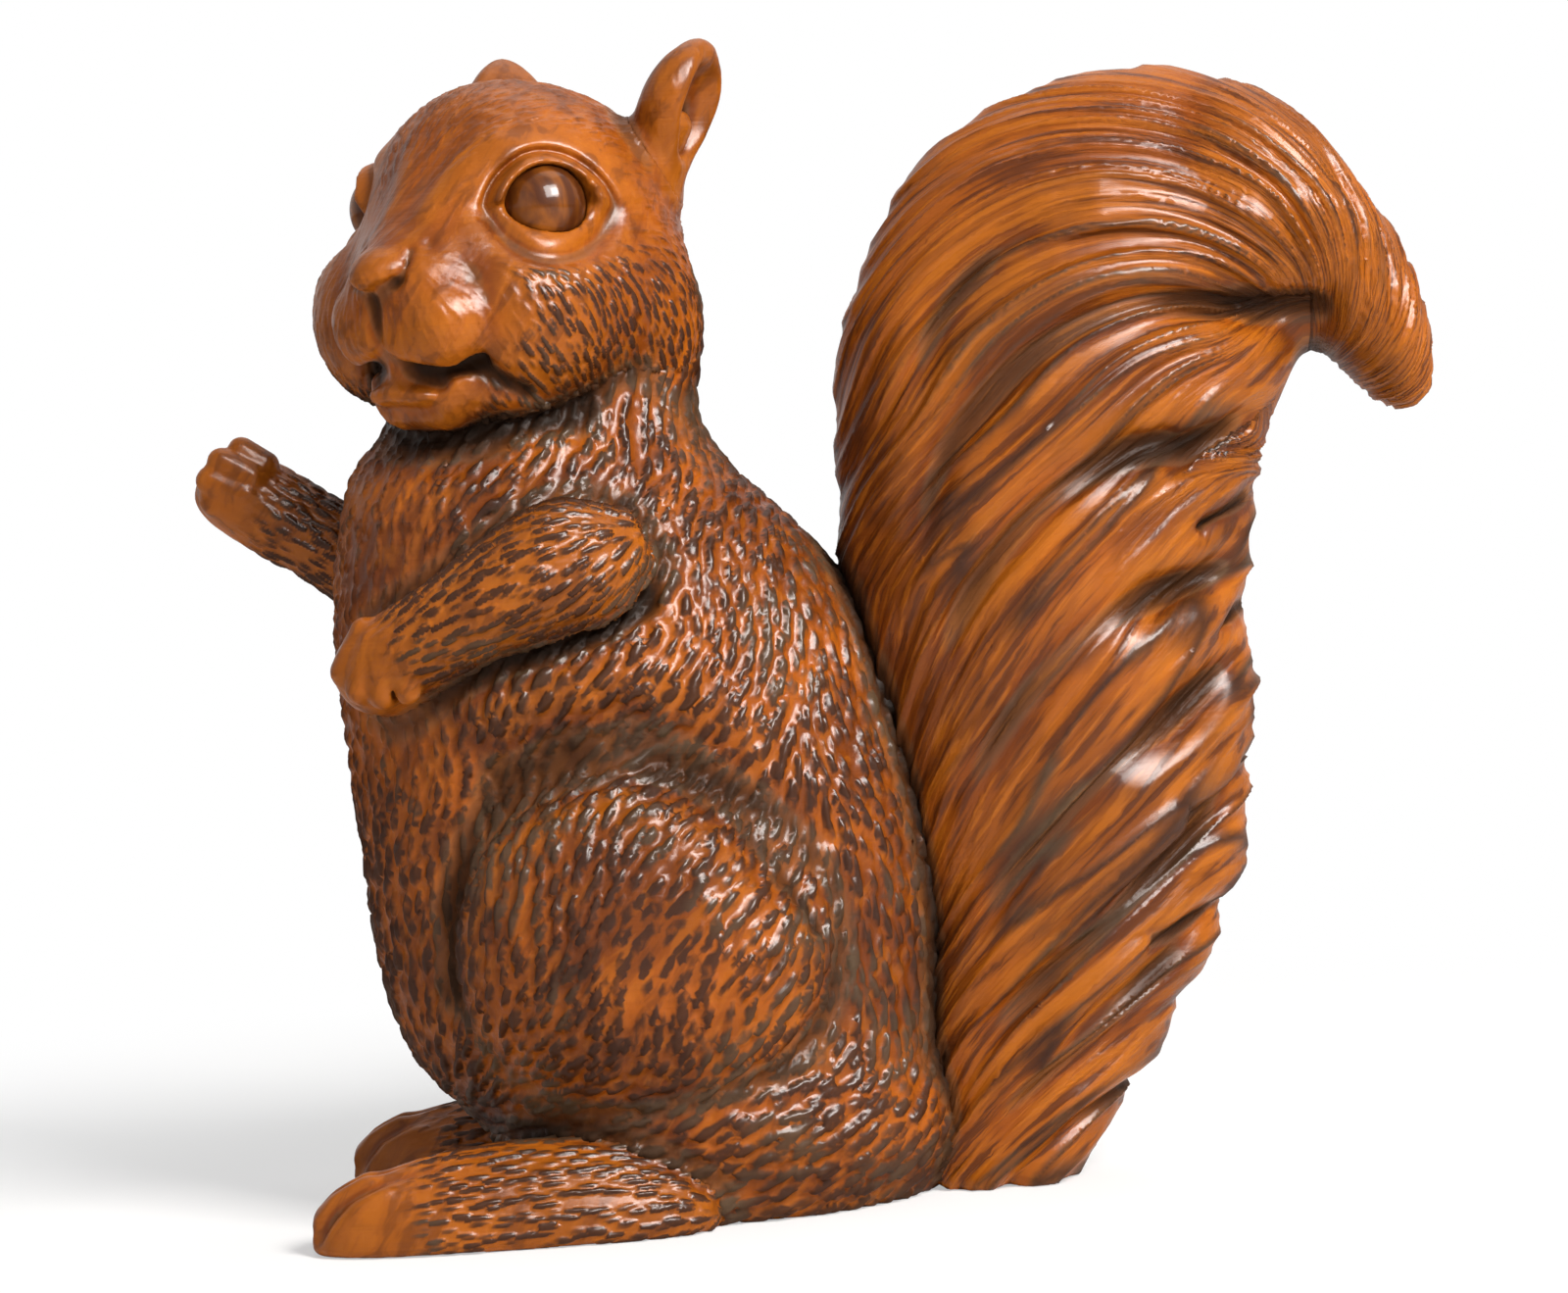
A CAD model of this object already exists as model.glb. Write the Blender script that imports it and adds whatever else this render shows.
"""Looks of a carved and lacquered wooden squirrel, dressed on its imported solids.

Each piece starts from its own solid, read as a block of distances: neighbours run into each
other there, and creases, lids, lips and toes are cut as a carver would. Geometry Nodes then
cut the fur and the strands of the tail. Lengths are in millimetres until a mesh is made.
"""

import bpy
import numpy as np
import openvdb
from mathutils import Matrix, Vector


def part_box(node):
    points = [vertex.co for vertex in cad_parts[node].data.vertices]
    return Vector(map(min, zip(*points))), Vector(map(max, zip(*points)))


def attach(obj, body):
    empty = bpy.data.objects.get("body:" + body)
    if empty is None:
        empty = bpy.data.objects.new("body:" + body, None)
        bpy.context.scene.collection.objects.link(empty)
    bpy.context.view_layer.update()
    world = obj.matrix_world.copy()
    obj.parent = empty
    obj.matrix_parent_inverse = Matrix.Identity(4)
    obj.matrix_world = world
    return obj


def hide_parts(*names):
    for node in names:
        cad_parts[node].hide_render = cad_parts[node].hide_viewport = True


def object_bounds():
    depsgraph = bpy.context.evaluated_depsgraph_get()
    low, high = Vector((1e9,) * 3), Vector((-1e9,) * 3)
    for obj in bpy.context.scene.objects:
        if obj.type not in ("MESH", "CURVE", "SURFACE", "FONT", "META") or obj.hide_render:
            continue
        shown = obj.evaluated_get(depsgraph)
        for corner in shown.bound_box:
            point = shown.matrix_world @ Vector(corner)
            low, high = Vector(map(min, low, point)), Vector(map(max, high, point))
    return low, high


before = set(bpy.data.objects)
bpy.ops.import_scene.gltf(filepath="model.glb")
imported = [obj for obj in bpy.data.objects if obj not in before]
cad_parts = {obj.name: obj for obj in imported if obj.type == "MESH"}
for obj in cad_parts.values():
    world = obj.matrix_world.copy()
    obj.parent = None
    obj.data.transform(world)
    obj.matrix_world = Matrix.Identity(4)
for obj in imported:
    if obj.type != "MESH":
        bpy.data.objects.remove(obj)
cad_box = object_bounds()

MM = 0.001
DRAFT = 1.0
SEAM_GAP = -0.06
REACH = 2.6


def unit(vector):
    """A direction of length one."""
    vector = np.asarray(vector, float)
    return vector / np.linalg.norm(vector)


# The head's own axes, as in the solids: ahead, to its left and up, from the middle of the skull
HEAD_CENTRE = np.array([-9.5, 0.0, 64.5])
HEAD_TURN, HEAD_TILT = np.radians(45.0), np.radians(4.0)
AHEAD = np.array([-np.cos(HEAD_TURN), -np.sin(HEAD_TURN), 0.0])
LEFT = np.array(
    [
        np.sin(HEAD_TURN) * np.cos(HEAD_TILT),
        -np.cos(HEAD_TURN) * np.cos(HEAD_TILT),
        -np.sin(HEAD_TILT),
    ]
)
UP = np.cross(AHEAD, LEFT)
MUZZLE_SHIFT = 1.8
EYE_PLACE = (4.1, 7.7, 2.5)
EYE_RADIUS = 2.75
EYE_TOE_IN = np.radians(32.0)
EAR_ROOTS = {"left": (-6.5, 7.3, 5.6), "right": (-6.5, -7.3, 5.1)}
EAR_LEAN_OUT, EAR_LEAN_BACK, EAR_TURN = np.radians((21.0, 13.0, 22.0))
SIDES = {"left": 1.0, "right": -1.0}


def head_direction(ahead, left, up):
    """A direction along the head's own axes."""
    return AHEAD * ahead + LEFT * left + UP * up


def head_point(ahead, left, up):
    """A point given along the head's own axes."""
    return HEAD_CENTRE + head_direction(ahead, left, up)


# Blocks of distances


class Block:
    """An even grid of points that holds signed distances to a form, negative inside it."""

    def __init__(self, low, high, step):
        self.step = step
        self.first = np.floor((np.asarray(low) - REACH) / step).astype(int)
        counts = np.ceil((np.asarray(high) + REACH) / step).astype(int) - self.first + 1
        self.shape = tuple(int(count) for count in counts)
        self.ranges = [
            ((first + np.arange(count)) * step).astype(np.float32)
            for first, count in zip(self.first, self.shape)
        ]
        self.x, self.y, self.z = np.meshgrid(*self.ranges, indexing="ij", sparse=True)

    def solid(self, node):
        """Distances to a CAD node."""
        points, triangles = node_mesh(node)
        field = openvdb.FloatGrid.createLevelSetFromPolygons(
            points,
            triangles=triangles,
            transform=openvdb.createLinearTransform(self.step),
            halfWidth=REACH / self.step,
        )
        distances = np.empty(self.shape, np.float32)
        field.copyToArray(distances, ijk=tuple(int(index) for index in self.first))
        return distances

    def surface(self, distances):
        """Points and quads of the surface where the distance is nought."""
        band = 3 * self.step
        field = openvdb.FloatGrid(band)
        distances = np.clip(distances, -band, band)
        field.transform = openvdb.createLinearTransform(self.step)
        field.copyFromArray(distances, ijk=tuple(int(index) for index in self.first))
        points, quads = field.convertToQuads()
        return points, quads[:, ::-1]

    def window(self, low, high):
        """The slices of the block that hold a smaller box."""
        return tuple(
            slice(
                max(int(np.searchsorted(axis, least)), 0),
                max(int(np.searchsorted(axis, most)), 0),
            )
            for axis, least, most in zip(self.ranges, low, high)
        )

    def offsets(self, place, window):
        """The block's points in a window, measured from a place."""
        return (
            self.x[window[0]] - np.float32(place[0]),
            self.y[:, window[1]] - np.float32(place[1]),
            self.z[:, :, window[2]] - np.float32(place[2]),
        )

    def regrid(self, block, distances):
        """Another block's distances at this block's points, and the reach outside that block."""
        window = self.window(*((axis[0] for axis in block.ranges), (axis[-1] for axis in block.ranges)))
        result = np.full(self.shape, REACH, np.float32)
        part = distances
        for axis in range(3):
            at = self.ranges[axis][window[axis]] / block.step - block.first[axis]
            low = np.clip(np.floor(at).astype(int), 0, block.shape[axis] - 2)
            share = (at - low).astype(np.float32).reshape([-1 if i == axis else 1 for i in range(3)])
            part = np.take(part, low, axis=axis) * (1 - share) + np.take(part, low + 1, axis=axis) * share
        result[window] = part
        return result

    def read(self, distances, points):
        """Values of the block at points, from its nearest corners."""
        at = points / self.step - self.first
        low = np.clip(np.floor(at).astype(int), 0, np.array(self.shape) - 2)
        part = at - low
        total = np.zeros(len(points))
        for corner in np.ndindex(2, 2, 2):
            weight = np.prod(np.where(corner, part, 1 - part), axis=1)
            index = low + corner
            total += weight * distances[index[:, 0], index[:, 1], index[:, 2]]
        return total


def node_mesh(node):
    """A CAD node's points in millimetres and its triangles, with the doubles merged."""
    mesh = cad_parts[node].data
    points = np.empty(len(mesh.vertices) * 3, np.float32)
    mesh.vertices.foreach_get("co", points)
    mesh.calc_loop_triangles()
    corners = np.empty(len(mesh.loop_triangles) * 3, np.int32)
    mesh.loop_triangles.foreach_get("vertices", corners)
    points = np.round(points.reshape(-1, 3) / MM, 4)
    points, order = np.unique(points, axis=0, return_inverse=True)
    return points.astype(np.float32), order.reshape(-1)[corners].reshape(-1, 3).astype(np.uint32)


def node_box(node):
    """A CAD node's lowest and highest corners in millimetres."""
    low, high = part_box(node)
    return np.array(low) / MM, np.array(high) / MM


def softened(distances, radius):
    """Distances with their creases rounded, by three running means along each axis."""
    width = 2 * radius + 1
    for axis in range(3):
        for _ in range(3):
            pad = [(0, 0)] * 3
            pad[axis] = (radius + 1, radius)
            total = np.cumsum(np.pad(distances, pad, mode="edge"), axis=axis, dtype=np.float64)
            upper = [slice(None)] * 3
            lower = [slice(None)] * 3
            upper[axis] = slice(width, None)
            lower[axis] = slice(None, -width)
            distances = ((total[tuple(upper)] - total[tuple(lower)]) / width).astype(np.float32)
    return distances


def joined(one, other, width):
    """Two forms run into each other over a width."""
    nearness = np.maximum(width - np.abs(one - other), 0) / width
    return np.minimum(one, other) - nearness * nearness * (width / 4)


def line_distance(block, window, start, end):
    """Distance of a window's points from a straight line between two points."""
    run = np.asarray(end, float) - np.asarray(start, float)
    dx, dy, dz = block.offsets(start, window)
    share = (dx * run[0] + dy * run[1] + dz * run[2]) / max(float(run @ run), 1e-9)
    share = np.clip(share, 0, 1).astype(np.float32)
    return np.sqrt(
        (dx - share * run[0]) ** 2 + (dy - share * run[1]) ** 2 + (dz - share * run[2]) ** 2
    )


def cut(block, distances, path, width, depth):
    """Cuts a rounded groove along a path on the surface, or raises a ridge by a negative depth."""
    path = np.asarray(path, float)
    room = 2.4 * width
    window = block.window(path.min(axis=0) - room, path.max(axis=0) + room)
    if min(part.stop - part.start for part in window) < 1:
        return
    nearest = line_distance(block, window, path[0], path[min(1, len(path) - 1)])
    for start, end in zip(path[1:], path[2:]):
        nearest = np.minimum(nearest, line_distance(block, window, start, end))
    distances[window] += np.float32(depth) * np.exp(-((nearest / width) ** 2))


def add_round(block, distances, start, end, radius, blend_width):
    """Adds a rounded bar between two points, run into the form."""
    start, end = np.asarray(start, float), np.asarray(end, float)
    room = radius + blend_width + 1.0
    window = block.window(np.minimum(start, end) - room, np.maximum(start, end) + room)
    bar = line_distance(block, window, start, end) - np.float32(radius)
    distances[window] = joined(distances[window], bar, blend_width)


def bowl(block, distances, centre, axes, halves, depth):
    """Hollows an egg-shaped dish whose half axes lie along the given directions."""
    room = max(halves) * 1.8
    window = block.window(np.asarray(centre) - room, np.asarray(centre) + room)
    dx, dy, dz = block.offsets(centre, window)
    total = 0.0
    for axis, half in zip(axes, halves):
        total = total + ((dx * axis[0] + dy * axis[1] + dz * axis[2]) / half) ** 2
    distances[window] += np.float32(depth) * np.exp(-total * total).astype(np.float32)


# Carving of the separate pieces


def carve_eye(block, distances, side):
    """Cuts one eye's socket, with a rim, folds above it, a pocket below and creases at its corner."""
    ahead, left, up = EYE_PLACE
    centre = head_point(ahead, side * left, up)
    outward = head_direction(np.sin(EYE_TOE_IN), side * np.cos(EYE_TOE_IN), 0)
    forward = head_direction(np.cos(EYE_TOE_IN), -side * np.sin(EYE_TOE_IN), 0)
    window = block.window(centre - 8.5, centre + 8.5)
    dx, dy, dz = block.offsets(centre, window)
    across = dx * forward[0] + dy * forward[1] + dz * forward[2]
    above = dx * UP[0] + dy * UP[1] + dz * UP[2]
    out = dx * outward[0] + dy * outward[1] + dz * outward[2]
    stretch = np.where(across < 0, 1.3, 1.14) - 0.18 * np.clip(np.abs(above) / 3, 0, 1)
    ring = np.sqrt((across / stretch) ** 2 + above**2)
    front = 1 / (1 + np.exp(-(out + 0.6) * 3))
    upper = 1 / (1 + np.exp(-(above - 0.1) * 3.2))
    lower = 1 - upper

    def band(radius, width):
        return np.exp(-(((ring - radius) / width) ** 2))

    change = upper * (0.5 * band(3.6, 0.24) - 0.8 * band(2.9, 0.34))
    change += lower * 0.5 * band(3.5, 0.75)
    distances[window] += (front * change).astype(np.float32)
    for start, end, depth in (
        ((-3.0, 1.6), (-4.9, 2.6), 0.3),
        ((-3.3, 0.8), (-5.6, 1.2), 0.36),
        ((-3.4, 0.1), (-5.4, -0.2), 0.3),
        ((-3.0, -0.9), (-4.6, -1.5), 0.2),
        ((2.9, 0.1), (4.3, -0.7), 0.35),
    ):
        line = [centre + forward * a + UP * b + outward * 1.4 for a, b in (start, end)]
        cut(block, distances, line, 0.26, depth)
    ball = np.sqrt(dx**2 + dy**2 + dz**2)
    distances[window] = np.maximum(distances[window], EYE_RADIUS + 0.07 - ball)


def carve_head(block, distances):
    """Cuts the face: eyes, nose, the split lip, the mouth, the cheek creases and the brow."""
    for side in SIDES.values():
        carve_eye(block, distances, side)

        def face(ahead, left, up, side=side):
            return head_point(ahead, MUZZLE_SHIFT + side * (left - MUZZLE_SHIFT), up)

        mouth = [face(13.2, 1.9, -7.4), face(12.2, 3.4, -8.0), face(11.0, 5.0, -8.0), face(9.7, 6.5, -7.4)]
        cut(block, distances, mouth, 0.6, 1.6)
        cut(block, distances, [place - UP * 0.8 for place in mouth[:3]], 0.55, 1.0)
        crease = [face(9.6, 7.2, -2.4), face(9.2, 7.9, -3.8), face(9.0, 8.0, -5.2), face(9.1, 7.2, -6.8)]
        cut(block, distances, crease, 0.6, 0.4)
        cut(block, distances, crease[1:], 0.8, 0.55)
        corner = [face(9.5, 6.8, -7.4), face(8.4, 7.8, -8.4), face(6.8, 8.6, -9.2)]
        cut(block, distances, corner, 0.9, 0.7)
        cut(block, distances, [face(11.2, 4.6, -0.2), face(9.8, 6.6, -1.6)], 0.6, 0.3)
        cut(block, distances, [face(13.6, 3.6, -2.3), face(14.2, 2.9, -2.7)], 0.45, 0.7)
        cut(block, distances, [face(14.2, 2.8, -2.9), face(14.3, 1.8, -3.4)], 0.4, 0.5)
        cut(block, distances, [face(12.2, 3.9, -0.6), face(13.2, 4.0, -2.2)], 0.5, 0.35)
        cut(block, distances, [face(11.5, 4.6, -0.9), face(12.3, 4.1, -1.5)], 0.6, 0.3)
        cut(block, distances, [face(8.7, 6.9, -1.2), face(9.1, 6.6, -2.0)], 0.42, 0.4)
        cut(block, distances, [face(11.9, 5.9, -4.6), face(11.6, 5.4, -6.0)], 1.3, -0.35)
        cut(block, distances, [face(10.0, 3.4, 2.2), face(8.4, 4.2, 4.6), face(6.0, 5.2, 6.4)], 1.1, -0.35)
        cut(block, distances, [face(10.2, 4.4, 0.4), face(8.6, 5.4, 1.0)], 0.7, 0.3)
    nose = (head_direction(0, 1, 0), head_direction(0.3, 0, 1), AHEAD)
    bowl(block, distances, head_point(13.6, MUZZLE_SHIFT, -1.7), nose, (1.95, 1.35, 2.0), -0.85)
    philtrum = [head_point(14.0, MUZZLE_SHIFT, -3.3), head_point(13.4, MUZZLE_SHIFT, -7.2)]
    cut(block, distances, philtrum, 0.5, 1.0)
    lip = [head_point(12.0, 0.2, -9.6), head_point(12.4, MUZZLE_SHIFT, -9.6), head_point(11.8, 3.6, -9.6)]
    cut(block, distances, lip, 0.8, -0.3)
    under = [head_point(11.4, -0.6, -10.6), head_point(11.9, MUZZLE_SHIFT, -10.7), head_point(11.2, 4.2, -10.6)]
    cut(block, distances, under, 0.7, 0.45)


def shape_jaw(block, distances):
    """Fills the jowls out over the neck, and brings the chin and lower lip clear of the throat."""
    for side in SIDES.values():
        add_round(block, distances, head_point(3.5, side * 6.0, -4.5), head_point(-2.6, side * 6.2, -4.5), 6.1, 2.2)
    add_round(block, distances, head_point(9.3, 0.2, -9.4), head_point(9.0, 3.4, -9.3), 2.3, 1.6)
    add_round(block, distances, head_point(9.0, 3.4, -9.4), head_point(6.0, 6.6, -8.8), 1.9, 2.0)
    add_round(block, distances, head_point(9.0, 0.2, -9.4), head_point(6.0, -4.0, -8.8), 1.9, 2.0)
    add_round(block, distances, head_point(11.4, 0.5, -9.5), head_point(11.0, 3.6, -9.5), 1.0, 0.8)


def shape_throat(block, distances):
    """Hollows the throat under the chin."""
    throat = [head_point(10.5, -4.0, -12.2), head_point(11.2, MUZZLE_SHIFT, -12.4), head_point(9.8, 7.0, -12.0)]
    cut(block, distances, throat, 2.6, 2.0)


SHAPING = {"head": shape_jaw, "torso": shape_throat}


EAR_TIP_CUTS = {"left": 0.2, "right": 0.9}


def carve_ear(name):
    """Makes the cutter of one ear: a long hollow with a thin rim, deepest towards its base."""
    side = SIDES[name]
    root = head_point(*EAR_ROOTS[name])
    axis = unit(
        head_direction(-np.sin(EAR_LEAN_BACK), side * np.sin(EAR_LEAN_OUT), np.cos(EAR_LEAN_OUT))
    )
    outward = head_direction(-np.sin(EAR_TURN), side * np.cos(EAR_TURN), 0)
    across = unit(np.cross(outward, axis))
    facing = np.cross(axis, across)

    def carve(block, distances):
        axes = (axis, across, facing)
        bowl(block, distances, root + axis * 4.9 + facing * 1.6, axes, (3.4, 2.0, 2.4), 1.0)
        bowl(block, distances, root + axis * 2.6 + facing * 1.9, axes, (1.9, 1.4, 2.0), 0.9)
        fold = [root + axis * 2.2 + across * 1.4 + facing * 1.0, root + axis * 6.2 + across * 0.9 + facing * 0.6]
        cut(block, distances, fold, 0.35, 0.3)
        for edge in (-1, 1):
            tip = [root + axis * 6.4 + across * edge * 3.3, root + axis * 9.2 + across * edge * 1.7]
            cut(block, distances, tip, 1.1, EAR_TIP_CUTS[name])

    return carve


LEFT_FINGERS = (
    ((-20.0, -11.3, 39.6), (-21.5, -10.6, 37.1), 0.9),
    ((-19.3, -12.0, 39.0), (-20.4, -11.6, 35.9), 0.95),
    ((-18.3, -12.7, 38.7), (-18.9, -12.3, 35.5), 0.95),
    ((-17.1, -13.2, 38.4), (-17.3, -12.9, 35.7), 0.85),
)
RIGHT_FINGERS = (
    ((-28.0, 8.4, 51.0), (-29.5, 8.5, 52.0), 0.95),
    ((-28.8, 7.8, 50.2), (-30.8, 7.8, 51.3), 1.0),
    ((-29.4, 7.6, 49.0), (-31.6, 7.7, 50.1), 1.0),
    ((-29.6, 8.0, 47.7), (-31.5, 8.2, 48.7), 0.95),
    ((-28.6, 11.6, 50.4), (-30.6, 11.6, 51.4), 1.0),
    ((-29.4, 12.2, 48.6), (-31.5, 12.0, 49.9), 1.0),
)


def carve_paw(fingers):
    """Makes the carver of a paw: rounded fingers with creases between them."""

    def carve(block, distances):
        for knuckle, tip, radius in fingers:
            add_round(block, distances, knuckle, tip, radius, 0.45)
        for (knuckle, tip, _), (next_knuckle, next_tip, _) in zip(fingers, fingers[1:]):
            crease = [np.add(knuckle, next_knuckle) / 2, np.add(tip, next_tip) / 2]
            cut(block, distances, crease, 0.36, 0.8)

    return carve


FOOT_HEEL, FOOT_SPREAD, FOOT_SPLAY = -2.25, 12.5, np.radians(4.0)


def foot_point(side, ahead, out, up):
    """A point on a hind foot: ahead of the heel, outwards from the middle of the sole, and up."""
    forward = np.array([-np.cos(FOOT_SPLAY), -side * np.sin(FOOT_SPLAY), 0.0])
    outward = np.array([np.sin(FOOT_SPLAY), -side * np.cos(FOOT_SPLAY), 0.0])
    return np.array([FOOT_HEEL, -side * FOOT_SPREAD, up]) + forward * ahead + outward * out


def carve_foot(name):
    """Makes the cutter of one hind foot: four toes and a line round the sole."""
    side = SIDES[name]

    def carve(block, distances):
        for out, start in ((-2.2, 15.6), (0.0, 14.6), (2.2, 15.2)):
            line = [
                foot_point(side, start, out * 0.95, 5.8),
                foot_point(side, 18.4, out, 5.0),
                foot_point(side, 21.2, out * 0.95, 3.6),
                foot_point(side, 22.8, out * 0.75, 1.4),
            ]
            cut(block, distances, line, 0.5, 1.0)
        for out, along in ((-3.3, 20.4), (-1.1, 21.4), (1.1, 21.4), (3.2, 20.2)):
            toe = [foot_point(side, along - 1.6, out, 4.4), foot_point(side, along, out, 3.4)]
            cut(block, distances, toe, 0.9, -0.35)
        rim = [(1.5, 5.0), (8.3, 5.7), (15.8, 5.4), (20.6, 3.9)]
        rim = [foot_point(side, ahead, out, 1.9) for ahead, out in rim]
        cut(block, distances, rim, 0.34, 0.4)

    return carve


HAUNCH_VALLEY = (
    (-16.3, 9.6, 16.1),
    (-16.3, 10.4, 21.2),
    (-14.9, 11.8, 25.7),
    (-11.7, 13.4, 29.4),
    (-7.8, 14.4, 30.8),
    (-3.4, 14.7, 31.4),
    (0.3, 14.6, 30.0),
    (3.6, 14.7, 27.0),
    (6.2, 15.0, 23.4),
    (8.1, 14.2, 18.9),
    (8.8, 12.6, 14.2),
)
ARM_SHADOW = (
    (-16.6, -12.4, 35.4),
    (-11.7, -14.0, 37.2),
    (-7.9, -14.1, 38.2),
    (-4.7, -13.6, 39.2),
    (-2.0, -13.0, 40.6),
)
ELBOW_EDGE = ((-2.0, -13.0, 40.6), (-0.4, -12.2, 42.8), (-0.8, -11.6, 45.4), (-2.8, -11.0, 46.8))


JAW_HEIGHT = 53.5


def carve_torso(block, distances):
    """Cuts the valley round each haunch, the shadow line round the folded arm and the crease under the jaw."""
    for side in SIDES.values():
        valley = np.array(HAUNCH_VALLEY) * (1, -side, 1)
        cut(block, distances, valley[3:-2], 2.6, 1.5)
        cut(block, distances, valley[4:-1], 0.9, 0.8)
        cut(block, distances, valley[:5], 2.3, 0.6)
        cut(block, distances, valley[1:5], 1.4, 0.6)
        cut(block, distances, valley[:5] + (3.4, -side * 1.0, -1.2), 2.4, -0.5)
        cut(block, distances, valley[3:-2] + (1.0, -side * 0.4, 4.0), 3.0, -0.5)
        cut(block, distances, [(11.5, -side * 10.6, 27), (12.4, -side * 10.4, 12)], 4.5, -0.5)
        cut(block, distances, [(-4.2, -side * 17.4, 20), (-6.0, -side * 17.0, 15)], 5.0, -0.25)
    cut(block, distances, ARM_SHADOW, 1.0, 1.5)
    cut(block, distances, ELBOW_EDGE, 0.8, 0.3)
    turn = np.radians(np.arange(75, 286, 15))
    jaw = np.stack([-8.6 + 11.4 * np.cos(turn), 10.0 * np.sin(turn), np.full(len(turn), JAW_HEIGHT)], axis=1)
    cut(block, distances, jaw, 1.9, 2.1)


# Ends of locks on the tail's far edge: distance along X, height, slope and depth
TAIL_NOTCHES = (
    (28.2, 6.2, 0.7, 0.8),
    (32.6, 12.0, 0.6, 0.9),
    (35.2, 18.6, 0.5, 0.9),
    (37.0, 27.6, 0.55, 0.9),
    (37.6, 37.6, 0.5, 1.1),
    (39.2, 45.4, 0.45, 0.9),
)
# The stretch of the uppermost groove that is filled in, a little more from each point to the next
EASED_GROOVE = ((23.5, 8.4, 61.8), (26.5, 8.6, 63.4), (29.5, 8.6, 64.1), (37.0, 8.0, 64.0), (43.0, 7.0, 63.0))


def tail_notches(block, distances):
    """Cuts the ends of the locks along the tail's far edge, and eases the uppermost groove."""
    for side in SIDES.values():
        eased = np.array(EASED_GROOVE) * (1, side, 1)
        for first in range(3):
            cut(block, distances, eased[first:], 1.8, -0.37)
    for x, z, climb, depth in TAIL_NOTCHES:
        near = [(x - 5.0, side * 6.0, z - 5.0 * climb) for side in (-1, 1)]
        line = [near[0], (x - 0.6, -2.4, z - 0.6 * climb), (x + 0.4, 0.0, z), (x - 0.6, 2.4, z - 0.6 * climb), near[1]]
        cut(block, distances, line, 0.9, depth)


LEFT_TIP = (-20.8, -8.4, 36.3)
RIGHT_TIP = (-32.2, 10.0, 50.7)
CARVING = {
    "torso": carve_torso,
    "head": carve_head,
    "left_ear": carve_ear("left"),
    "right_ear": carve_ear("right"),
    "left_foreleg": carve_paw(LEFT_FINGERS),
    "right_foreleg": carve_paw(RIGHT_FINGERS),
    "left_foot": carve_foot("left"),
    "right_foot": carve_foot("right"),
    "tail": tail_notches,
}

# Each piece's grid step, the radius its creases are rounded to, and the width over which
# it runs into each neighbour
PIECES = {
    "torso": (
        0.23,
        0.55,
        {
            "head": 0.4,
            "tail": 0.8,
            "left_foreleg": 1.6,
            "right_foreleg": 1.2,
            "left_foot": 1.4,
            "right_foot": 1.4,
        },
    ),
    "head": (0.15, 0.6, {"torso": 0.4, "left_ear": 1.6, "right_ear": 1.6}),
    "left_ear": (0.12, 0.25, {"head": 1.6}),
    "right_ear": (0.12, 0.25, {"head": 1.6}),
    "left_foreleg": (0.15, 0.3, {"torso": 1.6}),
    "right_foreleg": (0.15, 0.3, {"torso": 1.2}),
    "left_foot": (0.15, 0.35, {"torso": 1.4}),
    "right_foot": (0.15, 0.35, {"torso": 1.4}),
    "tail": (0.22, 0.6, {"torso": 0.8}),
}
PINS = ("neck_dowel", "tail_dowels", "foreleg_dowels", "foot_dowels", "ear_dowels")


NAPE_BLEND = 2.1


def nape_share(block):
    """How far a block's points lie behind the middle of the head, from nought to one."""
    dx, dy, _ = block.offsets(HEAD_CENTRE, (slice(None), slice(None), slice(None)))
    return blend(-(dx * AHEAD[0] + dy * AHEAD[1]), 0.0, 5.0).astype(np.float32)


forms = {}


def base_form(node):
    """A node's block and distances, with its creases rounded by the amount that suits it."""
    if node not in forms:
        step, rounding, _ = PIECES[node]
        block = Block(*node_box(node), step * DRAFT)
        radius = max(int(round(rounding / block.step)), 1)
        distances = softened(block.solid(node), radius)
        if node in SHAPING:
            SHAPING[node](block, distances)
        forms[node] = block, distances
    return forms[node]


def carved_surface(node):
    """Points, quads and hollowness of one finished form, cut off where its neighbours begin."""
    block, own = base_form(node)
    form = own.copy()
    CARVING[node](block, form)
    others = np.full(block.shape, REACH, np.float32)
    for other, width in PIECES[node][2].items():
        near = block.regrid(*base_form(other))
        others = np.minimum(others, near)
        if {node, other} == {"torso", "head"}:
            width = width + NAPE_BLEND * nape_share(block)
        form = joined(form, near, width)
    for pins in PINS:
        low, high = node_box(pins)
        if min(part.stop - part.start for part in block.window(low, high)) > 0:
            form = np.minimum(form, block.solid(pins) - 0.6)
    form = np.maximum(form, -block.z)
    hollow = softened(form, max(int(round(0.9 / block.step)), 1))
    piece = np.maximum(form, 0.5 * (own - others) + SEAM_GAP / 2)
    points, quads = block.surface(piece)
    return points, quads, np.clip(-block.read(hollow, points) * 2.2, -1, 1)


# Meshes


def new_piece(name, points, faces, attributes=None):
    """A mesh object from points in millimetres, with smooth shading and number attributes."""
    mesh = bpy.data.meshes.new(name)
    mesh.from_pydata([], [], [])
    mesh.vertices.add(len(points))
    mesh.vertices.foreach_set("co", (np.asarray(points, np.float32) * MM).ravel())
    corners = faces.shape[1]
    mesh.loops.add(faces.size)
    mesh.loops.foreach_set("vertex_index", faces.ravel().astype(np.int32))
    mesh.polygons.add(len(faces))
    mesh.polygons.foreach_set("loop_start", np.arange(0, faces.size, corners, dtype=np.int32))
    mesh.update(calc_edges=True)
    mesh.shade_smooth()
    for label, values in (attributes or {}).items():
        kind, field = ("FLOAT_VECTOR", "vector") if np.ndim(values) == 2 else ("FLOAT", "value")
        layer = mesh.attributes.new(label, kind, "POINT")
        layer.data.foreach_set(field, np.ascontiguousarray(values, np.float32).ravel())
    piece = bpy.data.objects.new(name, mesh)
    bpy.context.scene.collection.objects.link(piece)
    return piece


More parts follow.
